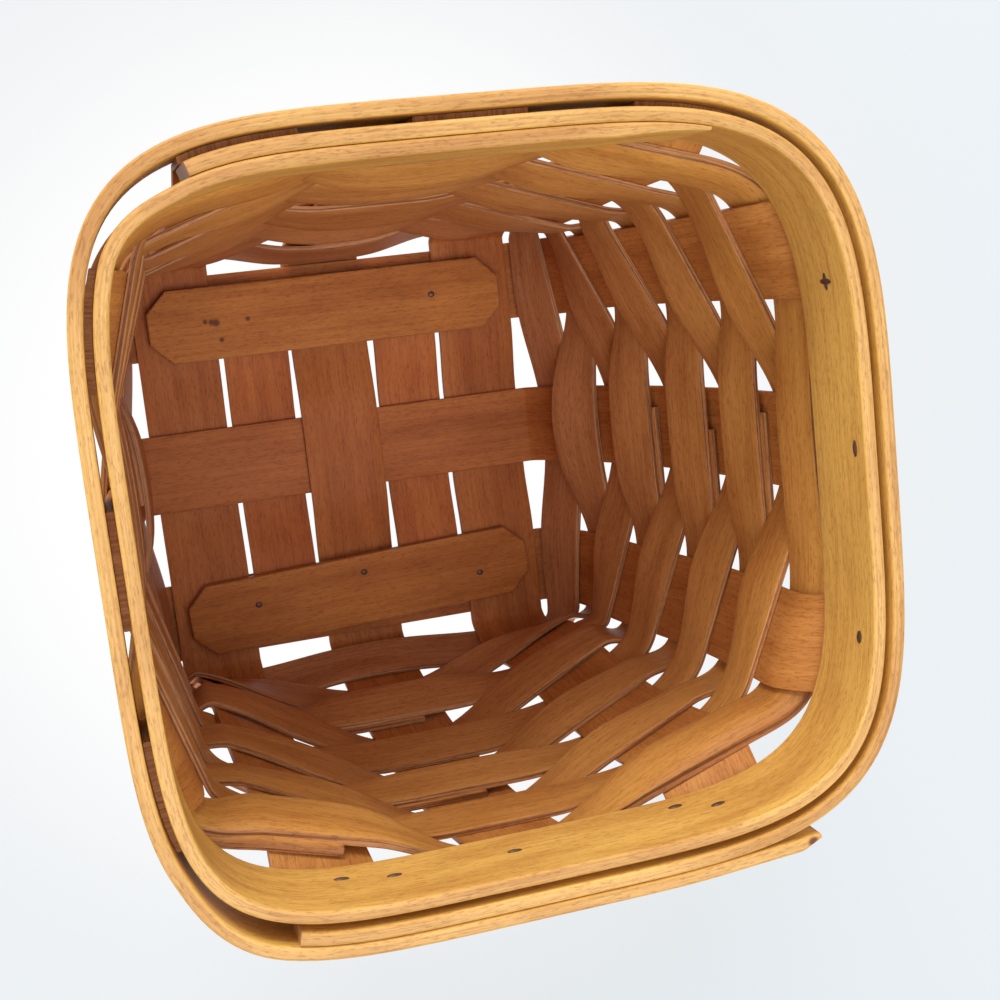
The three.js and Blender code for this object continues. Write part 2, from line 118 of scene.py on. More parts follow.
# Exponent: how late a wall takes on the rim's section. Later than in the CAD, because in the
# photograph the top rows cut the corners under the bands
RIM_ONSET = 54
NEAR_CORNER = 0.995  # share of a wall's half at which its section stops being followed

# The woven splints touch here, apart from a hair's breadth
CONTACT = 0.07
LAYER = UPRIGHT_THICKNESS + CONTACT
BASE_MIDDLE = LAYER + UPRIGHT_THICKNESS / 2
WEAVER_OFFSET = (UPRIGHT_THICKNESS + WEAVER_THICKNESS) / 2 + CONTACT
WEAVER_STEP = WEAVER_THICKNESS + CONTACT
HOLD_HALF = UPRIGHT_WIDTH / 2 + 0.5  # a weaver is held just past an upright's edges
# Inside, a weaver's upper edge is taut and its lower edge stands further off, but not at a corner,
# and not on the left wall, where the CAD has the same slack as elsewhere
SLACK = {"right": 1.8, "back": 1.8, "left": 0.0, "front": 1.8}
RING_STEPS = 13  # on an upright and between two uprights
TAUTNESS = 0.75  # how far a strip leaves an upright along its way to the next one
LAP_TUCK = 6.0  # how far a weaver's hidden beginning runs past the middle of an upright
LAP_SHOW = [3, 3, 3, 4, 2, 0.5, 3, 4.5, 2, 3]  # how far its end runs past the lap upright's middle
LAP_LIFT = 0.6  # how much higher the end lies than the beginning over it
BAND_SEAT = UPRIGHT_THICKNESS / 2 + CONTACT
BAND_LAP = BAND_THICKNESS + CONTACT

# Rounding of the edges, and the steps that the meshes take
UPRIGHT_ROUNDING = 0.15
WEAVER_ROUNDING = 0.12
BAND_ROUNDING = 0.5
SLAT_ROUNDING = 0.35
UPRIGHT_FACE_STEPS = 8
WEAVER_FACE_STEPS = 6
BAND_FACE_STEPS = 10
BAND_CORNER_STEPS = 4
BASE_STATIONS = 121
WALL_STATIONS = 71
WALL_CROWDING = 1.9  # exponent: an upright's stations lie closer together near the base
BAND_STATIONS = 361
FREE_STATIONS = 26
RIM_STEPS = 1801  # in a quarter of the rim
SLAT_EDGE_STEPS = 24
SLAT_FILL = (0.9, 0.66, 0.33, 0.0)  # shares of the width, in to a slat's middle line
TACK_SIDES = 16
TACK_CLIMB = (-25, 15, 45, 70, 83)  # degrees up a tack's dome
SHARP_ANGLE = 42  # degrees between faces from which an edge stays sharp
CROSSING_MARGIN = 0.3  # how far a base splint stays level past a crossing

# Tacks seen in the photograph: places of the slats' heads, and distances along the rim from the
# middle of its right side, heights and half sizes of the points that come through the inner band
SLAT_SEAT = BASE_MIDDLE + LAYER + UPRIGHT_THICKNESS / 2 + CONTACT
SLAT_TOP = SLAT_SEAT + SLAT_THICKNESS
SLAT_TACKS = ((-22.1, -29.0), (0.5, -25.7), (25.4, -29.8), (21.7, 30.2))
SLAT_HEAD = (0.75, 0.65)
BAND_TACKS = (
    (26.4, 111.2, 0.45, 1.7),
    (26.4, 111.2, 1.4, 0.45),
    (1.6, 115.1, 1.3, 0.5),
    (-27.5, 113.7, 1.0, 0.7),
    (257.5, 107.4, 1.2, 0.4),
    (265.1, 109.0, 1.2, 0.4),
    (283.2, 109.2, 1.2, 0.4),
    (309.9, 106.2, 1.2, 0.5),
    (315.7, 109.7, 1.2, 0.5),
)
BAND_HEAD = 1.5
# How far the slats' heads, the points and the bands' heads stand out
SLAT_HEAD_RISE = 0.28
POINT_RISE = 0.3
BAND_HEAD_RISE = 0.5
EDGE_SHARE = 0.8  # how far a sawn edge takes its own colours
LAYER_LENGTH = 40.0  # layers that show on a sawn edge
LAYER_WIDTH = 0.35
# Colour of the dark knots, and of the painted shade of a small hole at the outer band's free end
KNOT_AND_HOLE_SHADE = "#6B3A22"
RUST_PATCH = 0.8 * MM

FLAT = (0.0, 0.0, 0.0)
UNDER_CENTRE = (LAYER, -LAYER, LAYER)
OVER_CENTRE = (-LAYER, LAYER, -LAYER)
SPLINTS_X = [
    ("upsplint_x_front", -UPRIGHT_SPACING, FLAT),
    ("upsplint_x_centre", 0.0, FLAT),
    ("upsplint_x_back", UPRIGHT_SPACING, FLAT),
]
SPLINTS_Y = [
    ("upsplint_y_left", -UPRIGHT_SPACING, UNDER_CENTRE),
    ("upsplint_y_centre", 0.0, OVER_CENTRE),
    ("upsplint_y_right", UPRIGHT_SPACING, UNDER_CENTRE),
]
# The twelve uprights in order round the basket, counter-clockwise from above
UPRIGHT_PLACES = (
    [("right", splint) for splint in SPLINTS_X]
    + [("back", splint) for splint in SPLINTS_Y[::-1]]
    + [("left", splint) for splint in SPLINTS_X[::-1]]
    + [("front", splint) for splint in SPLINTS_Y]
)
# For each wall: the axis it faces, the axis it runs along, its sign, the counter-clockwise way
# along it, and the walls at its low and high ends
SIDES = {
    "right": (0, 1, 1, 1, "front", "back"),
    "back": (1, 0, 1, -1, "left", "right"),
    "left": (0, 1, -1, -1, "front", "back"),
    "front": (1, 0, -1, 1, "left", "right"),
}


def ease(t):
    """Smooth step: three times the square less twice the cube, level at both ends."""
    t = np.clip(t, 0, 1)
    return t * t * (3 - 2 * t)


def stand_off(side, rise):
    """Distance of a wall from the leaning centre: the base's half, a flare that grows with a power
    of the rise, and a parabola for the bulge."""
    flare, curl, bulge = WALL_CURVES[side][:3]
    return BASE_HALF + flare * rise**curl + bulge * 4 * rise * (1 - rise)


def wall_depth(side, lateral, height, rise):
    """Depth and slope of a wall at a lateral place: each corner is a quarter of a superellipse whose
    exponent goes from square at the base to the corner's own and to the rim's."""
    out = stand_off(side, rise)
    settle = WALL_CURVES[side][5]
    found = []
    for neighbour, squareness in zip(SIDES[side][4:], WALL_CURVES[side][3:5]):
        at_rim = RIM_SQUARENESS[frozenset((side, neighbour))]
        power = squareness + (BASE_SQUARENESS - squareness) * np.exp(-height / settle)
        power = power + (at_rim - squareness) * rise**RIM_ONSET
        half = stand_off(neighbour, rise)
        q = np.minimum(np.abs(lateral) / half, NEAR_CORNER)
        rest = 1 - q**power
        slope = -np.sign(lateral) * out / half * q ** (power - 1) / rest ** (1 - 1 / power)
        found.append((out * rest ** (1 / power), slope))
    return tuple(np.where(lateral < 0, low, high) for low, high in zip(*found))


def upright_frame(at, z):
    """Centre, counter-clockwise tangent and outward normal of an upright, counted round the basket,
    at heights z, and the function that gives how the wall falls away from the tangent line."""
    side, (_, across, levels) = UPRIGHT_PLACES[at]
    out, along, sign, travel = SIDES[side][:4]
    start = BASE_MIDDLE + levels[0 if side == "front" else 2]
    height = np.maximum(z - start, 0)
    rise = np.clip(height / (BAND_BOTTOM - start), 0, 1)
    depth, slope = wall_depth(side, across + 0 * rise, height, rise)
    centre = np.stack([LEAN[0] * rise, LEAN[1] * rise, z], -1)
    centre[:, out] += sign * depth
    centre[:, along] += across
    tangent = np.zeros_like(centre)
    tangent[:, along] = travel
    tangent[:, out] = travel * sign * slope * UPRIGHT_TURN
    tangent /= np.linalg.norm(tangent, axis=-1)[:, None]
    normal = np.stack([tangent[:, 1], -tangent[:, 0], 0 * z], -1)

    def fall(t):
        step = t * tangent[:, along, None]
        there = wall_depth(side, across + step, height[:, None], rise[:, None])[0]
        off = depth[:, None] + sign * t * tangent[:, out, None] - there
        return off * np.abs(tangent[:, along, None])

    return centre, tangent, normal, fall


def rounded_section(width, thickness, radius, face_steps, corner_steps=3):
    """Outline of a splint's section, a rounded rectangle: the outer half from the low edge to the
    high edge, then the inner half back. Gives the place across, the place through the thickness
    (-1 to 1), the distance round the outline and 1 on the narrow edges."""
    turn = np.linspace(0, np.pi / 2, corner_steps + 1)
    half_width, half = width / 2, thickness / 2
    low_across = -half_width + radius * (1 - np.cos(turn))
    low_through = half - radius * (1 - np.sin(turn))
    face = np.linspace(-half_width + radius, half_width - radius, face_steps + 1)[1:-1]
    across = np.concatenate([low_across, face, -low_across[::-1]])
    through = np.concatenate([low_through, half + 0 * face, low_through[::-1]])
    edge = np.concatenate([1 - turn / turn[-1], 0 * face, turn / turn[-1]])
    across = np.concatenate([across, across[::-1]])
    through = np.concatenate([through, -through[::-1]])
    edge = np.concatenate([edge, edge[::-1]])
    closed = np.stack([np.append(across, across[0]), np.append(through, through[0])])
    round_it = np.append(0, np.cumsum(np.linalg.norm(np.diff(closed), axis=0)))
    return across, through / half, round_it, edge


def path_length(points):
    """Distance along a line of points."""
    return np.append(0, np.cumsum(np.linalg.norm(np.diff(points, axis=0), axis=1)))


def finish_piece(name, vertices, faces, uv, edge, material, node=None):
    """One mesh object of the basket: its points in metres in the part's frame, its faces turned
    outwards by the sign of the enclosed volume, its grain map and its edge attribute."""
    vertices = np.asarray(vertices, float)
    a, b, c, d = (vertices[faces[:, k]] for k in range(4))
    volume = np.einsum("ij,ij->", a, np.cross(b, c)) + np.einsum("ij,ij->", a, np.cross(c, d))
    if volume < 0:
        faces, uv = faces[:, ::-1], uv[:, ::-1]
    mesh = bpy.data.meshes.new(name)
    mesh.from_pydata((vertices * MM + BASE_CENTRE).tolist(), [], faces.tolist())
    grain = mesh.uv_layers.new(name="grain")
    grain.data.foreach_set("uv", np.ascontiguousarray(uv, np.float32).ravel())
    worn = mesh.attributes.new("edge", "FLOAT", "POINT")
    worn.data.foreach_set("value", np.ascontiguousarray(edge, np.float32).ravel())
    mesh.shade_smooth()
    mesh.set_sharp_from_angle(angle=np.radians(SHARP_ANGLE))
    mesh.materials.append(material)
    piece = bpy.data.objects.new(name, mesh)
    bpy.context.scene.collection.objects.link(piece)
    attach(piece, "root")
    if node:
        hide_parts(node)
    return piece


def tube_grid(stations, around):
    """Faces of a tube of points, stations along it by places round it: quads between neighbours."""
    index = np.arange(stations * around).reshape(stations, around)
    right = np.roll(index, -1, axis=1)
    return np.stack([index[:-1], index[1:], right[1:], right[:-1]], -1).reshape(-1, 4)


def closed_grid(stations, around):
    """Faces of a tube of points with a ladder of quads over each end."""
    j = np.arange(around // 2 - 1)
    ladder = np.stack([j, j + 1, around - 2 - j, around - 1 - j], -1)
    ends = [ladder[:, ::-1], (stations - 1) * around + ladder]
    return np.concatenate([tube_grid(stations, around), *ends])


def strip(name, points, section, material, node, shift):
    """A closed strip from a grid of points, stations along it by places round its section. The grain
    map is in millimetres, along the strip and round it, shifted to its own stretch of wood."""
    stations, around = points.shape[:2]
    _, _, round_it, edge = section
    j = np.arange(around // 2 - 1)
    faces = closed_grid(stations, around)
    reach = path_length(points.mean(1)) + shift
    u0, v0 = np.meshgrid(reach[:-1], round_it[:-1], indexing="ij")
    u1, v1 = np.meshgrid(reach[1:], round_it[1:], indexing="ij")
    u = np.stack([u0, u1, u1, u0], -1).reshape(-1, 4)
    v = np.stack([v0, v0, v1, v1], -1).reshape(-1, 4)
    cap_v = np.stack([round_it[j], round_it[j + 1], round_it[j + 1], round_it[j]], -1)
    thick = np.array([0.0, 0.0, 1.0, 1.0]) + 0 * cap_v
    u = np.concatenate([u, reach[0] + thick[:, ::-1], reach[-1] + thick])
    v = np.concatenate([v, cap_v[:, ::-1], cap_v])
    worn = np.tile(edge, (stations, 1))
    worn[[0, -1]] = 1
    uv = np.stack([u, v], -1)
    return finish_piece(name, points.reshape(-1, 3), faces, uv, worn, material, node)


def base_path(levels, end):
    """Centre line of a splint across the base: level over each crossing, eased between them."""
    flat = UPRIGHT_WIDTH / 2 + CROSSING_MARGIN
    along = np.linspace(-end, end, BASE_STATIONS)
    steps = ease((along + UPRIGHT_SPACING - flat) / (UPRIGHT_SPACING - 2 * flat))
    steps_on = ease((along - flat) / (UPRIGHT_SPACING - 2 * flat))
    level = levels[0] + (levels[1] - levels[0]) * steps + (levels[2] - levels[1]) * steps_on
    return along, BASE_MIDDLE + level


def splint_points(centre, tangent, fall, section, thickness):
    """Points of a splint: across it along the tangent and through it along the direction square to
    the tangent and the centre line, less what the wall falls away."""
    across, through = section[:2]
    forward = np.gradient(centre, axis=0)
    inward = np.cross(forward, tangent)
    inward /= np.linalg.norm(inward, axis=1)[:, None]
    depth = fall - through * thickness / 2
    return (
        centre[:, None]
        + tangent[:, None] * across[None, :, None]
        + inward[:, None] * depth[..., None]
    )


def upright(splint, axis, material, shift):
    """An upright splint: down one wall, across the base, up the opposite wall."""
    name, across, levels = splint
    section = rounded_section(UPRIGHT_WIDTH, UPRIGHT_THICKNESS, UPRIGHT_ROUNDING, UPRIGHT_FACE_STEPS)
    sides = ("left", "right") if axis == "x" else ("front", "back")
    walls = []
    for side, flip in zip(sides, (-1, 1)):
        at = UPRIGHT_PLACES.index((side, splint))
        start = BASE_MIDDLE + levels[0 if side == "front" else 2]
        climb = np.linspace(0, 1, WALL_STATIONS)[1:]
        z = start + (RIM_TOP - UPRIGHT_SET_DOWN - start) * climb**WALL_CROWDING
        centre, tangent, _, fall = upright_frame(at, z)
        sprung = ease((z - ROWS_TOP) / (BAND_BOTTOM - ROWS_TOP))
        walls.append((centre, tangent * flip, sprung[:, None] * fall(section[0] * flip)))
    along, level = base_path(levels, wall_depth(sides[0], across, 0.0, 0.0)[0])
    flat = np.stack([along, across + 0 * along, level], -1)
    widthwise = np.array([0.0, 1.0, 0.0])
    if axis == "y":
        flat = flat[:, [1, 0, 2]]
        widthwise = np.array([-1.0, 0.0, 0.0])
    centre = np.concatenate([walls[0][0][::-1], flat, walls[1][0]])
    tangent = np.concatenate([walls[0][1][::-1], 0 * flat + widthwise, walls[1][1]])
    no_fall = np.zeros((len(flat), len(section[0])))
    fall = np.concatenate([walls[0][2][::-1], no_fall, walls[1][2]])
    points = splint_points(centre, tangent, fall, section, UPRIGHT_THICKNESS)
    return strip(name + "_wood", points, section, material, name, shift)


def filler(name, x, material, shift):
    """A filler between two uprights, its ends lying on the front and back splints."""
    section = rounded_section(FILLER_WIDTH, UPRIGHT_THICKNESS, UPRIGHT_ROUNDING, UPRIGHT_FACE_STEPS)
    along, level = base_path(UNDER_CENTRE, UPRIGHT_SPACING + FILLER_OVERHANG)
    centre = np.stack([x + 0 * along, along, level], -1)
    tangent = 0 * centre + np.array([-1.0, 0.0, 0.0])
    points = splint_points(centre, tangent, 0 * section[0][None], section, UPRIGHT_THICKNESS)
    return strip(name + "_wood", points, section, material, name, shift)


def weaver_ring(row, order, z):
    """The ring of a weaver at heights z: knots at both edges of every upright it passes, inside and
    outside by turns, each with its place, the way the strip takes there, the gap to the next knot and
    the stretch of a level thickness. The way is that of the chord between the knots on either side,
    less what would bend the strip towards the upright between its two edges."""
    place, towards, stretch, taut_way = [], [], [], []
    low_edge = (row > 0) * (z.max() - z) / (z.max() - z.min())
    for at in order:
        side, (_, across, _) = UPRIGHT_PLACES[at]
        centre, tangent, normal, _ = upright_frame(at, z)
        # What the wall leans in a millimetre of height
        lean = upright_frame(at, z + 0.5)[0] - upright_frame(at, z - 0.5)[0]
        level = np.hypot(1, (lean * normal).sum(-1))
        way_in = -1 if (at + row) % 2 == 0 else 1
        for edge in (-1, 1):
            at_corner = across * edge * SIDES[side][3] > 0
            slack = SLACK[side] if way_in < 0 and not at_corner else 0.0
            depth = WEAVER_OFFSET + slack * low_edge
            off = normal * (way_in * depth * level)[:, None]
            place.append(centre + tangent * edge * HOLD_HALF + off)
            towards.append(normal * edge * way_in)
            stretch.append(level)
            taut_way.append([edge, at_corner])
    place, towards, stretch = np.stack(place), np.stack(towards), np.stack(stretch)
    edge, at_corner = np.array(taut_way).T[..., None, None]
    ahead = np.roll(place, -1, axis=0) - place
    gap = np.linalg.norm(ahead, axis=-1)
    back = np.roll(ahead, 1, axis=0)
    straight = ahead / gap[..., None]
    straight_back = np.roll(straight, 1, axis=0)
    share = np.where(edge > 0, TAUTNESS, 1 - TAUTNESS)
    way = np.where(at_corner, ahead + back, straight * share + straight_back * (1 - share))
    way -= towards * np.maximum((way * towards).sum(-1), 0)[..., None]
    way /= np.linalg.norm(way, axis=-1)[..., None]
    return place, way, gap, stretch


def ring_point(ring, k, t):
    """Points and directions of a ring at shares t from knot k to the next: cubic Hermite curves whose
    end slopes follow the way of the strip."""
    place, way, gap = ring[:3]
    after = (k + 1) % len(place)
    t = t[:, None, None]
    reach = gap[k][..., None]
    line = (
        place[k] * (2 * t**3 - 3 * t**2 + 1)
        + way[k] * reach * (t**3 - 2 * t**2 + t)
        + place[after] * (3 * t**2 - 2 * t**3)
        + way[after] * reach * (t**3 - t**2)
    )
    along = (
        (place[after] - place[k]) / reach * (6 * t - 6 * t**2)
        + way[k] * (3 * t**2 - 4 * t + 1)
        + way[after] * (3 * t**2 - 2 * t)
    )
    return line, along / np.linalg.norm(along, axis=-1)[..., None]


def weaver_line(row, z):
    """The line of a weaver at heights z, in legs from knot to knot: it starts outside the upright
    before its lap upright, goes once round its ring and ends on the lap upright. In the lap its
    beginning lies a layer further in than its end. Gives points, outward directions and the stretch
    of a level thickness."""
    count = len(UPRIGHT_PLACES)
    order = [(LAP_PLACES[row] - 1 + k) % count for k in range(count)]
    ring = weaver_ring(row, order, z)
    last = 2 * count - 1
    begin = 0.5 - LAP_TUCK / (2 * HOLD_HALF)
    end = 0.5 + LAP_SHOW[row] / (2 * HOLD_HALF)
    # Knot, shares of the leg and layers at its two ends
    legs = [(0, begin, 1, 0, 0), (1, 0, 1, 0, -1), (2, 0, 1, -1, -1), (3, 0, 1, -1, 0)]
    legs += [(k, 0, 1, 0, 0) for k in range(4, last)]
    legs += [(last, 0, 1, 0, 1), (0, 0, 1, 1, 1), (1, 0, 1, 1, 0), (2, 0, end, 0, 0)]
    walk = np.linspace(0, len(legs), RING_STEPS * len(legs) + 1)
    leg = np.minimum(walk.astype(int), len(legs) - 1)
    knot, start, stop, layer, next_layer = np.array(legs)[leg].T
    k = knot.astype(int)
    t = start + (stop - start) * (walk - leg)
    line, along = ring_point(ring, k, t)
    stretch = ring[3][k] + (ring[3][(k + 1) % (last + 1)] - ring[3][k]) * t[:, None]
    layer = layer + (next_layer - layer) * ease(t)
    lift = ease(walk - (len(legs) - 2))
    outward = np.stack([along[..., 1], -along[..., 0], 0 * stretch], -1)
    outward /= np.linalg.norm(outward, axis=-1)[..., None]
    line = line + outward * (WEAVER_STEP * layer[:, None] * stretch)[..., None]
    line[..., 2] += LAP_LIFT * lift[:, None]
    return line, outward, stretch


def weaver(row, material, shift):
    """A weaver: the ring line carried over the section of the splint."""
    section = rounded_section(WEAVER_WIDTH, WEAVER_THICKNESS, WEAVER_ROUNDING, WEAVER_FACE_STEPS)
    across, through = section[:2]
    middle = ROWS_BOTTOM + row * ROW_PITCH + WEAVER_WIDTH / 2
    line, outward, stretch = weaver_line(row, middle + across)
    points = line + outward * (through * stretch * WEAVER_THICKNESS / 2)[..., None]
    name = f"weaver_{row + 1:02d}"
    return strip(name + "_wood", points, section, material, name, shift)


def rim_line():
    """The rim's rounded square, counter-clockwise from the middle of its right side, as a table of
    distances and points: every quarter is that of a superellipse."""
    quarters = (("right", "back"), ("left", "back"), ("left", "front"), ("right", "front"))
    line = []
    for number, (wide, deep) in enumerate(quarters):
        angle = np.radians(90) * (number + np.linspace(0, 1, RIM_STEPS)[: None if number == 3 else -1])
        power = 2 / RIM_SQUARENESS[frozenset((wide, deep))]
        c, s = np.cos(angle), np.sin(angle)
        x = LEAN[0] + stand_off(wide, 1.0) * np.sign(c) * np.abs(c) ** power
        y = LEAN[1] + stand_off(deep, 1.0) * np.sign(s) * np.abs(s) ** power
        line.append(np.stack([x, y], -1))
    line = np.concatenate(line)
    return path_length(line), line


RIM_REACH, RIM_POINTS = rim_line()
RIM_LENGTH = RIM_REACH[-1]


def rim_frame(distance):
    """Point, direction and outward normal of the rim at distances along it."""
    step = 0.4

    def at(d):
        d = np.mod(d, RIM_LENGTH)
        return np.stack([np.interp(d, RIM_REACH, RIM_POINTS[:, k]) for k in (0, 1)], -1)

    way = at(distance + step) - at(distance - step)
    way /= np.linalg.norm(way, axis=-1)[:, None]
    return at(distance), way, np.stack([way[:, 1], -way[:, 0]], -1)


def stepped(distance, lap_start):
    """Share of a band's step over its own beginning that is done."""
    return ease((distance - lap_start + BAND_STEP + BAND_THICKNESS) / BAND_STEP)


def band(name, at, outward, near, far, material, shift):
    """A rim band: a rounded upright section between its near and far offsets at each station."""
    width = RIM_TOP - BAND_BOTTOM
    steps = BAND_FACE_STEPS, BAND_CORNER_STEPS
    section = rounded_section(width, BAND_THICKNESS, BAND_ROUNDING, *steps)
    across, through = section[:2]
    offset = (near + far)[:, None] / 2 + through * (far - near)[:, None] / 2
    level = at[:, None] + outward[:, None] * offset[..., None]
    z = np.broadcast_to((RIM_TOP + BAND_BOTTOM) / 2 + across, offset.shape)
    points = np.concatenate([level, z[..., None]], -1)
    return strip(name + "_wood", points, section, material, name, shift)


def inner_band(material, shift):
    """The inner band runs clockwise and ends, thinned, inside its own beginning on the back side."""
    start = -(RIM_LENGTH / 4 + INNER_LAP_START)
    end = RIM_LENGTH - (RIM_LENGTH / 4 - INNER_LAP_END)
    distance = np.linspace(start, end, BAND_STATIONS)
    at, _, outward = rim_frame(-distance)
    far = -BAND_SEAT - BAND_LAP * stepped(distance, start + RIM_LENGTH)
    left = np.clip((end - distance) / INNER_SKIVE, 0, 1)
    near = far - SKIVE_TIP - (BAND_THICKNESS - SKIVE_TIP) * left
    return band("rim_band_inner", at, outward, near, far, material, shift)


def outer_band(material, shift):
    """The outer band runs counter-clockwise and ends, straight and cut on a slant, outside its own
    beginning."""
    start = RIM_LENGTH * 3 / 4 - OUTER_LAP_START
    end = RIM_LENGTH * 3 / 4 + OUTER_LAP_END + RIM_LENGTH
    free = end - FREE_END
    bent = np.linspace(start, free, BAND_STATIONS)
    distance = np.append(bent, np.linspace(free, end, FREE_STATIONS)[1:])
    at, way, outward = rim_frame(np.minimum(distance, free))
    at = at + way * np.maximum(distance - free, 0)[:, None]
    near = BAND_SEAT + BAND_LAP * stepped(distance, start + RIM_LENGTH)
    left = np.clip((end - distance) / FREE_BEVEL, 0, 1)
    far = near + FREE_TIP + (BAND_THICKNESS - FREE_TIP) * left
    return band("rim_band_outer", at, outward, near, far, material, shift)


def slat(name, y, turn, material, shift):
    """A base slat: an oblong with cut corners, its outline carried over a profile that rounds the
    top and bottom edges, and closed to its middle line."""
    half_long, half_wide = SLAT_LENGTH / 2, SLAT_WIDTH / 2
    cut = SLAT_CHAMFER
    corner = np.array(
        [
            [half_long, half_wide - cut],
            [half_long - cut, half_wide],
            [cut - half_long, half_wide],
            [-half_long, half_wide - cut],
            [-half_long, cut - half_wide],
            [cut - half_long, -half_wide],
            [half_long - cut, -half_wide],
            [half_long, cut - half_wide],
        ]
    )
    share = np.linspace(0, 1, SLAT_EDGE_STEPS + 1)[:-1]
    ahead = np.roll(corner, -1, axis=0)
    outline = (corner[:, None] + (ahead - corner)[:, None] * share[None, :, None]).reshape(-1, 2)
    turn_in = np.linspace(0, np.pi / 2, 5)
    bend = SLAT_ROUNDING * (1 - np.cos(turn_in))
    lift = SLAT_ROUNDING * np.sin(turn_in)
    inset = np.concatenate([bend[::-1], bend])
    height = np.concatenate([SLAT_ROUNDING - lift[::-1], SLAT_THICKNESS - SLAT_ROUNDING + lift])
    shrink_x = 1 - inset[:, None] / half_long
    shrink_y = 1 - inset[:, None] / half_wide
    ring = np.stack(
        [
            outline[None, :, 0] * shrink_x,
            outline[None, :, 1] * shrink_y,
            np.broadcast_to(height[:, None], (len(height), len(outline))),
        ],
        -1,
    )
    x, y_top = ring[-1, :, 0], ring[-1, :, 1] * np.array(SLAT_FILL)[:, None]
    top = np.stack([x + 0 * y_top, y_top, SLAT_THICKNESS + 0 * y_top], -1)
    bottom = top[::-1] * np.array([1, 1, 0])
    grid = np.concatenate([bottom, ring, top])
    angle = np.radians(turn)
    spin = np.array([[np.cos(angle), -np.sin(angle)], [np.sin(angle), np.cos(angle)]])
    points = grid.copy()
    points[..., :2] = grid[..., :2] @ spin.T + np.array([0.0, y])
    points[..., 2] += SLAT_SEAT
    rows, around = grid.shape[:2]
    faces = tube_grid(rows, around)
    flat = grid.reshape(-1, 3)
    uv = np.stack([flat[:, 0] + shift, flat[:, 1] + flat[:, 2]], -1)[faces]
    round_off = 1 - turn_in / turn_in[-1]
    edge = np.zeros((rows, around))
    edge[len(bottom) : -len(top)] = np.concatenate([round_off[::-1], round_off])[:, None]
    return finish_piece(
        name + "_wood", points.reshape(-1, 3), faces, uv, edge, material, name
    )


def tacks(name, rows, rise, material):
    """Tacks, each a flattened dome on the wood: rings of half an ellipse round its axis, the lowest
    sunk in. A row is its place, the way its face looks, the way it is long, and two radii."""
    place, face, long_way, radii = (np.array(part, float)[:, None, None] for part in zip(*rows))
    turn = np.linspace(0, 2 * np.pi, TACK_SIDES + 1)[:-1, None]
    climb = np.radians(TACK_CLIMB)[:, None, None]
    flat = long_way * radii[..., :1] * np.cos(turn)
    flat = flat + np.cross(face, long_way) * radii[..., 1:] * np.sin(turn)
    points = place + flat * np.cos(climb) + face * rise * np.sin(climb)
    stations, around = points.shape[1:3]
    first = np.arange(len(rows))[:, None, None] * stations * around
    faces = (first + closed_grid(stations, around)).reshape(-1, 4)
    points = points.reshape(-1, 3)
    grain = points[:, :2][faces]
    return finish_piece(name, points, faces, grain, 0 * points[:, 0], material)


def band_tacks(name, offset, radii, rise, material):
    """Tacks on one face of a rim band, at BAND_TACKS and at offsets from the rim's line."""
    distance, height = np.array(BAND_TACKS).T[:2]
    at, way, outward = rim_frame(distance)
    level = np.zeros((len(distance), 1))
    offset = offset[:, None]
    place = np.append(at + outward * offset, height[:, None], axis=1)
    face = np.append(outward * np.sign(offset), level, axis=1)
    along = np.append(way, level, axis=1)
    return tacks(name, list(zip(place, face, along, radii)), rise, material)


def linear(colour):
    """An sRGB hex colour as linear red, green, blue and alpha."""
    part = np.array([int(colour[k : k + 2], 16) for k in (1, 3, 5)]) / 255
    part = np.where(part <= 0.04045, part / 12.92, ((part + 0.055) / 1.055) ** 2.4)
    return (*part.tolist(), 1.0)


def add_node(tree, kind, inputs=None, **settings):
    """Adds a node with its settings; an input is a value or another node's output."""
    node = tree.nodes.new(kind)
    for key, value in settings.items():
        setattr(node, key, value)
    for key, value in (inputs or {}).items():
        if isinstance(value, bpy.types.NodeSocket):
            tree.links.new(value, node.inputs[key])
        else:
            node.inputs[key].default_value = value
    return node


def new_material(name):
    """An empty node material and its output node."""
    material = bpy.data.materials.new(name)
    material.use_nodes = True
    material.node_tree.nodes.clear()
    return material, material.node_tree, add_node(material.node_tree, "ShaderNodeOutputMaterial")


# Marks in the wood: their length and width in millimetres, the span of noise over which they come
# in, the tint that they darken the wood by and their share
GRAIN_MARKS = (
    (24.0, 0.45, 0.38, 0.70, "#B98C6A", 0.28),  # year rings cut lengthwise, as fine streaks
    (36.0, 8.0, 0.35, 0.70, "#BF957A", 0.5),  # uneven stain
    (1.3, 0.22, 0.48, 0.70, "#946044", 0.42),  # short pores and flecks
)
SHADE_AND_STAIN_LOW = 8 * MM  # height below which the wood shows red-brown, partly its stain and partly painted shade deep in the basket
SHADE_AND_STAIN_HIGH = 112 * MM  # and above which it shows its golden stain, without painted shade
PORE_DEPTH = 0.03 * MM
LAYER_SPAN = (0.45, 0.6)  # span of noise between two layers of a sawn edge


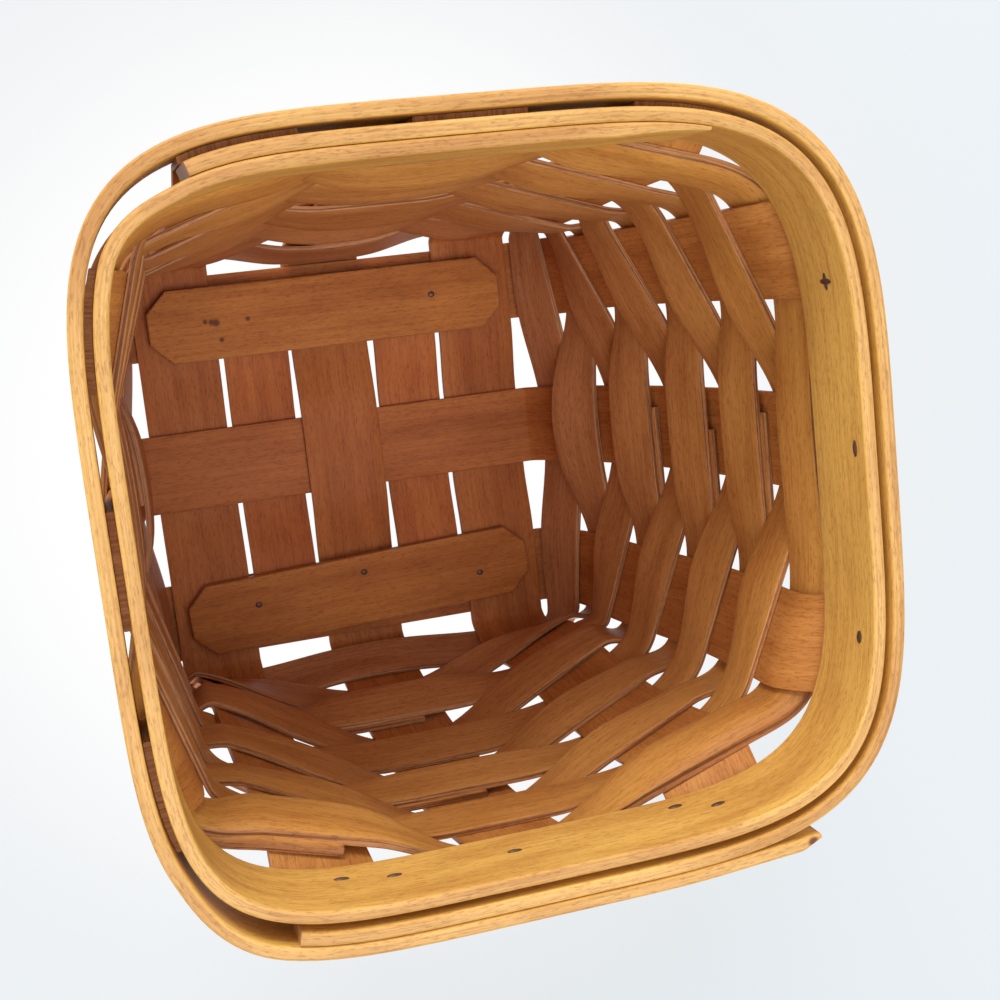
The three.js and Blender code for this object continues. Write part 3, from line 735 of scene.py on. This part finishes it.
def splint_wood(name, low, high, sawn, layer, sheen, knots_and_hole_shade=()):
    """Stained hardwood splint, cut with the grain and lightly sealed: red-brown low in the basket and
    golden at the rim, partly the wood's own colour and partly painted shade deep in the basket, with
    the marks of its grain, paler sawn edges, dark knot marks, dark spots of painted shade for a small
    hole and a satin sheen."""
    material, tree, output = new_material(name)
    grain = add_node(tree, "ShaderNodeUVMap", uv_map="grain").outputs[0]
    place = add_node(tree, "ShaderNodeTexCoord").outputs["Object"]
    height = add_node(tree, "ShaderNodeSeparateXYZ", {0: place}).outputs["Z"]
    # Partly stain and partly painted shade: red-brown and darker low in the basket, golden at the rim,
    # set by the height
    gold = add_node(
        tree,
        "ShaderNodeMapRange",
        {"Value": height, "From Min": SHADE_AND_STAIN_LOW, "From Max": SHADE_AND_STAIN_HIGH},
    ).outputs[0]
    shade_and_stain = {0: gold, 6: linear(low), 7: linear(high)}
    colour = add_node(tree, "ShaderNodeMix", shade_and_stain, data_type="RGBA").outputs[2]
    edge = add_node(tree, "ShaderNodeAttribute", attribute_name="edge").outputs["Fac"]
    edge = add_node(tree, "ShaderNodeMath", {0: edge, 1: EDGE_SHARE}, operation="MULTIPLY").outputs[0]
    layers = {"Vector": grain, "Scale": (1 / LAYER_LENGTH, 1 / LAYER_WIDTH, 1)}
    layers = add_node(tree, "ShaderNodeMapping", layers).outputs[0]
    layers = add_node(tree, "ShaderNodeTexNoise", {"Vector": layers, "Scale": 1.0}).outputs[0]
    span = {"Value": layers, "From Min": LAYER_SPAN[0], "From Max": LAYER_SPAN[1]}
    layers = add_node(tree, "ShaderNodeMapRange", span).outputs[0]
    sawn = {0: layers, 6: linear(sawn), 7: linear(layer)}
    sawn = add_node(tree, "ShaderNodeMix", sawn, data_type="RGBA").outputs[2]
    worn = {0: edge, 6: colour, 7: sawn}
    colour = add_node(tree, "ShaderNodeMix", worn, data_type="RGBA").outputs[2]
    for seed, (length, width, least, most, tint, share) in enumerate(GRAIN_MARKS):
        scale = (1 / length, 1 / width, 1)
        stretched = {"Vector": grain, "Location": (0, 0, seed + 0.5), "Scale": scale}
        spot = add_node(tree, "ShaderNodeMapping", stretched).outputs[0]
        noise = {"Vector": spot, "Scale": 1.0, "Detail": 3.0, "Roughness": 0.6}
        value = add_node(tree, "ShaderNodeTexNoise", noise).outputs[0]
        span = {"Value": value, "From Min": least, "From Max": most, "To Max": share}
        mark = add_node(tree, "ShaderNodeMapRange", span, interpolation_type="SMOOTHSTEP").outputs[0]
        tinted = {0: mark, 6: colour, 7: linear(tint)}
        colour = add_node(
            tree, "ShaderNodeMix", tinted, data_type="RGBA", blend_type="MULTIPLY"
        ).outputs[2]
    pores = mark
    # Dark knots, and a dark spot of painted shade standing in for a small hole in the outer band
    for u, v, radius in knots_and_hole_shade:
        away = add_node(tree, "ShaderNodeVectorMath", {0: grain, 1: (u, v, 0)}, operation="DISTANCE")
        span = {"Value": away.outputs["Value"], "From Min": radius, "From Max": radius / 3}
        mark = add_node(tree, "ShaderNodeMapRange", span, interpolation_type="SMOOTHSTEP").outputs[0]
        tinted = {0: mark, 6: colour, 7: linear(KNOT_AND_HOLE_SHADE)}
        colour = add_node(tree, "ShaderNodeMix", tinted, data_type="RGBA").outputs[2]
    # The last marks of the grain, the pores, are also slightly sunk
    sunk = {"Height": pores, "Strength": 0.3, "Distance": PORE_DEPTH}
    bump = add_node(tree, "ShaderNodeBump", sunk, invert=True).outputs[0]
    surface = {"Base Color": colour, "Roughness": 0.5, "Specular IOR Level": sheen, "Normal": bump}
    shader = add_node(tree, "ShaderNodeBsdfPrincipled", surface)
    tree.links.new(shader.outputs[0], output.inputs["Surface"])
    return material


def dark_iron(name):
    """Blackened iron of small tacks, with brown rust in patches and a dull shine."""
    material, tree, output = new_material(name)
    place = add_node(tree, "ShaderNodeTexCoord").outputs["Object"]
    rust = add_node(tree, "ShaderNodeTexNoise", {"Vector": place, "Scale": 1 / RUST_PATCH}).outputs[0]
    both = {0: rust, 6: linear("#463430"), 7: linear("#7A5442")}
    colour = add_node(tree, "ShaderNodeMix", both, data_type="RGBA").outputs[2]
    surface = {"Base Color": colour, "Metallic": 0.5, "Roughness": 0.45}
    shader = add_node(tree, "ShaderNodeBsdfPrincipled", surface)
    tree.links.new(shader.outputs[0], output.inputs["Surface"])
    return material


# Where each piece's stretch of wood starts in the grain map, so that no two pieces look alike
UPRIGHT_X_SHIFTS = (1000.0, 1410.0, 1820.0)
UPRIGHT_Y_SHIFTS = (3000.0, 3430.0, 3860.0)
FILLER_SHIFTS = (5000.0, 5150.0)
FRONT_SLAT_SHIFT = 6000.0
BACK_SLAT_SHIFT = 6200.0
WEAVER_SHIFT = 7000.0
WEAVER_SHIFT_STEP = 530
INNER_BAND_SHIFT = 13000.0
OUTER_BAND_SHIFT = 13700.0
# Dark knots on the back slat: along it, across it and their radius
BACK_SLAT_KNOTS = (
    (-22.9, 0.0, 1.1),
    (-23.8, 0.2, 0.8),
    (-25.0, 0.4, 0.7),
    (-22.2, -3.5, 0.7),
    (-16.5, 0.1, 0.7),
)
KNOTS = [(BACK_SLAT_SHIFT + x, y + SLAT_THICKNESS, size) for x, y, size in BACK_SLAT_KNOTS]
# Painted shade: a dark spot on the top edge of the outer band's free end, standing in for the shade in
# a small hole; along the band, round it and its radius
FREE_END_HOLE_SHADE = (471.3, 16.96, 1.2)
HOLE_SHADE_SPOTS = [(OUTER_BAND_SHIFT + FREE_END_HOLE_SHADE[0], *FREE_END_HOLE_SHADE[1:])]
# Golden wood of the bands, the palest piece, bright at its upper edge, with a dark spot of painted
# shade for a small hole at the outer band's free end
BAND_WOOD = splint_wood("golden_maple_band", "#E6B55C", "#E6B55C", "#D2A266", "#C09054", 0.3, HOLE_SHADE_SPOTS)
# Weavers go from red-brown at the base to nearly the bands' gold, partly their stain and partly
# painted shade low in the basket
WEAVER_WOOD = splint_wood("stained_maple_weaver_painted_shade", "#C48256", "#D69C4A", "#CC9468", "#6E3E22", 0.25)
# Uprights are a little browner than the weavers that cross them, and go the same way from red-brown
# low to golden high, partly their stain and partly painted shade low in the basket
UPRIGHT_WOOD = splint_wood("stained_maple_upright_painted_shade", "#BC713C", "#CB8C48", "#B87E54", "#94603A", 0.15)
# Fillers have taken the reddest stain
FILLER_WOOD = splint_wood("red_stained_maple_filler", "#C2713A", "#C2713A", "#B87A54", "#74402A", 0.15)
# Slats are browner, thicker stock, with knots in the back one
SLAT_WOOD = splint_wood("stained_maple_slat", "#C07838", "#C07838", "#C8946C", "#7A4A2C", 0.15, KNOTS)
TACK_IRON = dark_iron("blackened_iron_tack")

for splint, shift in zip(SPLINTS_X, UPRIGHT_X_SHIFTS):
    upright(splint, "x", UPRIGHT_WOOD, shift)
for splint, shift in zip(SPLINTS_Y, UPRIGHT_Y_SHIFTS):
    upright(splint, "y", UPRIGHT_WOOD, shift)
filler("base_filler_left", -UPRIGHT_SPACING / 2, FILLER_WOOD, FILLER_SHIFTS[0])
filler("base_filler_right", UPRIGHT_SPACING / 2, FILLER_WOOD, FILLER_SHIFTS[1])
slat("base_slat_front", SLAT_INSET - UPRIGHT_SPACING, FRONT_SLAT_TURN, SLAT_WOOD, FRONT_SLAT_SHIFT)
slat("base_slat_back", UPRIGHT_SPACING - SLAT_INSET, 0.0, SLAT_WOOD, BACK_SLAT_SHIFT)
for row in range(WEAVER_ROWS):
    weaver(row, WEAVER_WOOD, WEAVER_SHIFT + WEAVER_SHIFT_STEP * row)
inner_band(BAND_WOOD, INNER_BAND_SHIFT)
outer_band(BAND_WOOD, OUTER_BAND_SHIFT)
up, right = (0, 0, 1), (1, 0, 0)
slat_rows = [((x, y, SLAT_TOP), up, right, SLAT_HEAD) for x, y in SLAT_TACKS]
tacks("slat_tacks", slat_rows, SLAT_HEAD_RISE, TACK_IRON)
distance, _, *points = np.array(BAND_TACKS).T
inside = -BAND_SEAT - BAND_THICKNESS + 0 * distance
outside = BAND_SEAT + BAND_THICKNESS + BAND_LAP * (distance > RIM_LENGTH / 2)
heads = np.full((len(distance), 2), BAND_HEAD)
band_tacks("band_tack_points", inside, np.transpose(points), POINT_RISE, TACK_IRON)
band_tacks("band_tack_heads", outside, heads, BAND_HEAD_RISE, TACK_IRON)

# Stage: a pale floor that shows white to the eye, with some of its shadow, and pale surroundings
PALE = linear("#DBDFE2")
FLOOR_SIZE = 6.0
GLOW_FULL = 0.06  # distance from the basket's middle within which the table shows pure white to the eye, painted light that takes none of the basket's shadow
GLOW_END = 0.15
SHADOWLESS = 0.6  # share of the table's brightness that no shadow takes
WORLD_LIGHT = 1.3  # strength of the surroundings as light, and as the eye sees them
WORLD_SEEN = 1.0
# Lamps: name, place, the point they face, size and watts
LAMPS = (
    ("back_window", (-0.25, 1.0, 0.5), (0, 0, 0.1), 0.5, 9.0),
    ("front_fill", (0.0, -0.3, 1.05), (0, 0, 0.06), 0.7, 5.0),
)


def seen_directly(tree):
    """1 on rays that show the background to the eye, straight, mirrored or through glass."""
    path = add_node(tree, "ShaderNodeLightPath").outputs
    seen = add_node(
        tree,
        "ShaderNodeMath",
        {0: path["Is Camera Ray"], 1: path["Is Glossy Ray"]},
        operation="MAXIMUM",
    ).outputs[0]
    return add_node(
        tree, "ShaderNodeMath", {0: seen, 1: path["Is Transmission Ray"]}, operation="MAXIMUM"
    ).outputs[0]


def pale_floor():
    """A wide level square under the basket, whose white glows through the gaps of the base. Painted
    light:
    near the basket's middle it shows pure white to the eye and takes none of the basket's shadow.
    """
    half = FLOOR_SIZE / 2
    mesh = bpy.data.meshes.new("pale_floor")
    corners = [(-half, -half, 0), (half, -half, 0), (half, half, 0), (-half, half, 0)]
    mesh.from_pydata(corners, [], [(0, 1, 2, 3)])
    material, tree, output = new_material("white_table")
    matt = add_node(tree, "ShaderNodeBsdfDiffuse", {"Color": PALE})
    place = add_node(tree, "ShaderNodeTexCoord").outputs["Object"]
    away = add_node(tree, "ShaderNodeVectorMath", {0: place}, operation="LENGTH").outputs["Value"]
    span = {"Value": away, "From Min": GLOW_FULL, "From Max": GLOW_END, "To Min": 1.0, "To Max": 0.0}
    glow = add_node(tree, "ShaderNodeMapRange", span, interpolation_type="SMOOTHSTEP").outputs[0]
    white = {0: glow, 6: PALE, 7: linear("#FFFFFF")}
    white = add_node(tree, "ShaderNodeMix", white, data_type="RGBA").outputs[2]
    shown = add_node(tree, "ShaderNodeEmission", {"Color": white, "Strength": 1.0})
    steady = {"Value": glow, "To Min": SHADOWLESS, "To Max": 1.0}
    steady = add_node(tree, "ShaderNodeMapRange", steady).outputs[0]
    share = add_node(
        tree, "ShaderNodeMath", {0: seen_directly(tree), 1: steady}, operation="MULTIPLY"
    ).outputs[0]
    both = add_node(
        tree, "ShaderNodeMixShader", {0: share, 1: matt.outputs[0], 2: shown.outputs[0]}
    )
    tree.links.new(both.outputs[0], output.inputs["Surface"])
    mesh.materials.append(material)
    floor = bpy.data.objects.new("pale_floor", mesh)
    bpy.context.scene.collection.objects.link(floor)


pale_floor()

scene = bpy.context.scene
scene.view_settings.view_transform = "Standard"
world = bpy.data.worlds.new("pale_room")
world.use_nodes = True
scene.world = world
tree = world.node_tree
tree.nodes.clear()
span = {"Value": seen_directly(tree), "To Min": WORLD_LIGHT, "To Max": WORLD_SEEN}
strength = add_node(tree, "ShaderNodeMapRange", span).outputs[0]
sky = add_node(tree, "ShaderNodeBackground", {"Color": PALE, "Strength": strength})
add_node(tree, "ShaderNodeOutputWorld", {"Surface": sky.outputs[0]})


def soft_lamp(name, place, aim, size, watts):
    """A square soft lamp at a place, turned to face a point; metres."""
    lamp = bpy.data.lights.new(name, "AREA")
    lamp.size = size
    lamp.energy = watts
    holder = bpy.data.objects.new(name, lamp)
    away = np.array(place, float) - np.array(aim, float)
    away /= np.linalg.norm(away)
    side = np.cross([0, 0, 1], away)
    side /= np.linalg.norm(side)
    turn = np.stack([side, np.cross(away, side), away], 1)
    holder.matrix_world = Matrix.Translation(place) @ Matrix(turn.tolist()).to_4x4()
    scene.collection.objects.link(holder)


for lamp_row in LAMPS:
    soft_lamp(*lamp_row)

# Camera: the photograph's, solved from the weave; its axes are the columns
CAMERA_PLACE = (-47.57, 36.87, 309.5)
CAMERA_AXES = (
    (0.95744, 0.14643, -0.24872),
    (-0.10773, 0.98078, 0.1627),
    (0.26777, -0.12898, 0.95481),
)
SENSOR = 36.0
FOCAL_SHARE = 1.48385  # focal length against the width of the picture
lens = bpy.data.cameras.new("camera")
lens.sensor_width = SENSOR
lens.lens = SENSOR * FOCAL_SHARE
lens.clip_start = 0.01
camera = bpy.data.objects.new("camera", lens)
place = np.array(CAMERA_PLACE) * MM + BASE_CENTRE
camera.matrix_world = Matrix.Translation(place.tolist()) @ Matrix(CAMERA_AXES).to_4x4()
scene.collection.objects.link(camera)
scene.camera = camera

bpy.context.view_layer.update()
